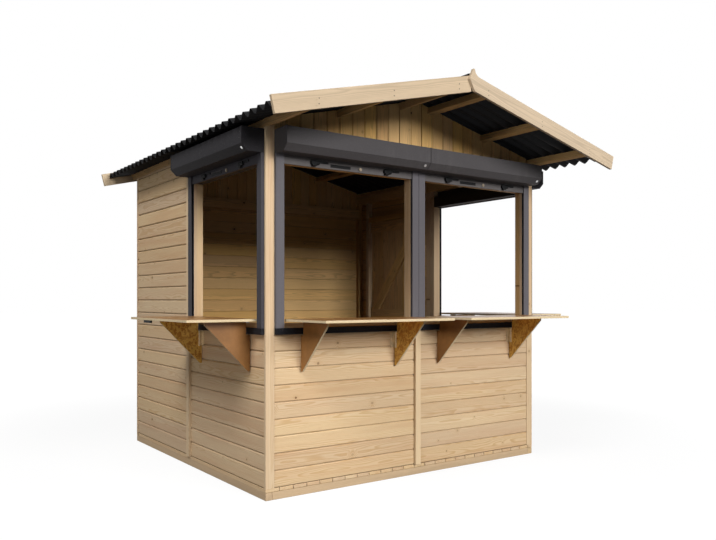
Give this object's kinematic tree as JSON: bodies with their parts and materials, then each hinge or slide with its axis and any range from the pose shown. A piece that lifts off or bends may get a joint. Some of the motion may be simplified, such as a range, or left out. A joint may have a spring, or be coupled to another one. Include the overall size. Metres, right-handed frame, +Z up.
{
  "type": "wooden market stall",
  "caption": "Square wooden market stall with open serving sides, folding counters on hinged brackets, rolled-up shutters, a plank door and a low corrugated gable roof.",
  "frame": {"origin": "middle of the floor's footprint, at ground level", "axes": "+X to the right along the front, +Y from the front to the back, +Z up"},
  "size_m": [3.2, 2.96, 2.598],
  "materials": {
    "pine": "planed and oiled pale pine",
    "rough_timber": "sawn timber, weathered",
    "floor_boards": "planed floorboards, trodden",
    "film_plywood": "film-faced plywood, satin, with pale cut edges",
    "grey_metal": "anthracite powder coat, satin",
    "black_sheet": "black corrugated sheet, dull",
    "bright_steel": "zinc plated"
  },
  "bodies": {
    "stall": {"back_wall": "pine", "barge_boards": "pine", "bracket_hinges": "bright_steel", "corner_posts": "pine", "corner_trims": "pine", "counter_hinges": "bright_steel", "counter_ledgers": "pine", "door_hinge_plates": "bright_steel", "floor_deck": "floor_boards", "floor_joists": "rough_timber", "floor_side_rims": "rough_timber", "front_parapets": "pine", "gables": "pine", "guide_rails": "grey_metal", "head_rails": "pine", "jamb_boards": "pine", "left_rear_wall": "pine", "low_rails": "pine", "ridge_cap": "black_sheet", "right_wall_beside_door": "pine", "right_wall_over_door": "pine", "roof_purlins": "pine", "roof_sheet_left": "black_sheet", "roof_sheet_right": "black_sheet", "shutter_boxes": "grey_metal", "shutter_end_bars": "grey_metal", "shutter_sills": "grey_metal", "side_headers": "pine", "side_parapets": "pine", "top_plates": "pine", "wall_battens": "pine", "wall_posts": "pine"},
    "front_left_counter": {"front_left_counter": "film_plywood"},
    "front_left_bracket_a": {"front_left_bracket_a": "film_plywood"},
    "front_left_bracket_b": {"front_left_bracket_b": "film_plywood"},
    "front_right_counter": {"front_right_counter": "film_plywood"},
    "front_right_bracket_a": {"front_right_bracket_a": "film_plywood"},
    "front_right_bracket_b": {"front_right_bracket_b": "film_plywood"},
    "left_counter": {"left_counter": "film_plywood"},
    "left_bracket_a": {"left_bracket_a": "film_plywood"},
    "left_bracket_b": {"left_bracket_b": "film_plywood"},
    "right_counter": {"right_counter": "film_plywood"},
    "right_bracket_a": {"right_bracket_a": "film_plywood"},
    "right_bracket_b": {"right_bracket_b": "film_plywood"},
    "door": {"door_leaf": "pine", "door_ledges": "pine", "door_braces": "pine", "door_straps": "bright_steel", "door_handle": "bright_steel"}
  },
  "joints": [
    {"name": "front_left_counter_hinge", "type": "hinge", "parent": "stall", "child": "front_left_counter", "pos_m": [-0.546, -1.1275, 1.044], "axis": [-1, 0, 0], "range_deg": [0, 90]},
    {"name": "front_left_bracket_a_hinge", "type": "hinge", "parent": "stall", "child": "front_left_bracket_a", "pos_m": [-0.8942, -1.1497, 0.915], "axis": [0, 0, 1], "range_deg": [0, 90]},
    {"name": "front_left_bracket_b_hinge", "type": "hinge", "parent": "stall", "child": "front_left_bracket_b", "pos_m": [-0.1978, -1.1497, 0.915], "axis": [0, 0, -1], "range_deg": [0, 90]},
    {"name": "front_right_counter_hinge", "type": "hinge", "parent": "stall", "child": "front_right_counter", "pos_m": [0.546, -1.1275, 1.044], "axis": [-1, 0, 0], "range_deg": [0, 90]},
    {"name": "front_right_bracket_a_hinge", "type": "hinge", "parent": "stall", "child": "front_right_bracket_a", "pos_m": [0.1978, -1.1497, 0.915], "axis": [0, 0, 1], "range_deg": [0, 90]},
    {"name": "front_right_bracket_b_hinge", "type": "hinge", "parent": "stall", "child": "front_right_bracket_b", "pos_m": [0.8942, -1.1497, 0.915], "axis": [0, 0, -1], "range_deg": [0, 90]},
    {"name": "left_counter_hinge", "type": "hinge", "parent": "stall", "child": "left_counter", "pos_m": [-1.15, -0.5665, 1.044], "axis": [0, 1, 0], "range_deg": [0, 90]},
    {"name": "left_bracket_a_hinge", "type": "hinge", "parent": "stall", "child": "left_bracket_a", "pos_m": [-1.1722, -0.9147, 0.915], "axis": [0, 0, -1], "range_deg": [0, 90]},
    {"name": "left_bracket_b_hinge", "type": "hinge", "parent": "stall", "child": "left_bracket_b", "pos_m": [-1.1722, -0.2183, 0.915], "axis": [0, 0, 1], "range_deg": [0, 90]},
    {"name": "right_counter_hinge", "type": "hinge", "parent": "stall", "child": "right_counter", "pos_m": [1.15, -0.5665, 1.044], "axis": [0, -1, 0], "range_deg": [0, 90]},
    {"name": "right_bracket_a_hinge", "type": "hinge", "parent": "stall", "child": "right_bracket_a", "pos_m": [1.1722, -0.9147, 0.915], "axis": [0, 0, 1], "range_deg": [0, 90]},
    {"name": "right_bracket_b_hinge", "type": "hinge", "parent": "stall", "child": "right_bracket_b", "pos_m": [1.1722, -0.2183, 0.915], "axis": [0, 0, -1], "range_deg": [0, 90]},
    {"name": "door_hinge", "type": "hinge", "parent": "stall", "child": "door", "pos_m": [1.1523, 0.9085, 1], "axis": [0, 0, 1], "range_deg": [0, 110]}
  ]
}
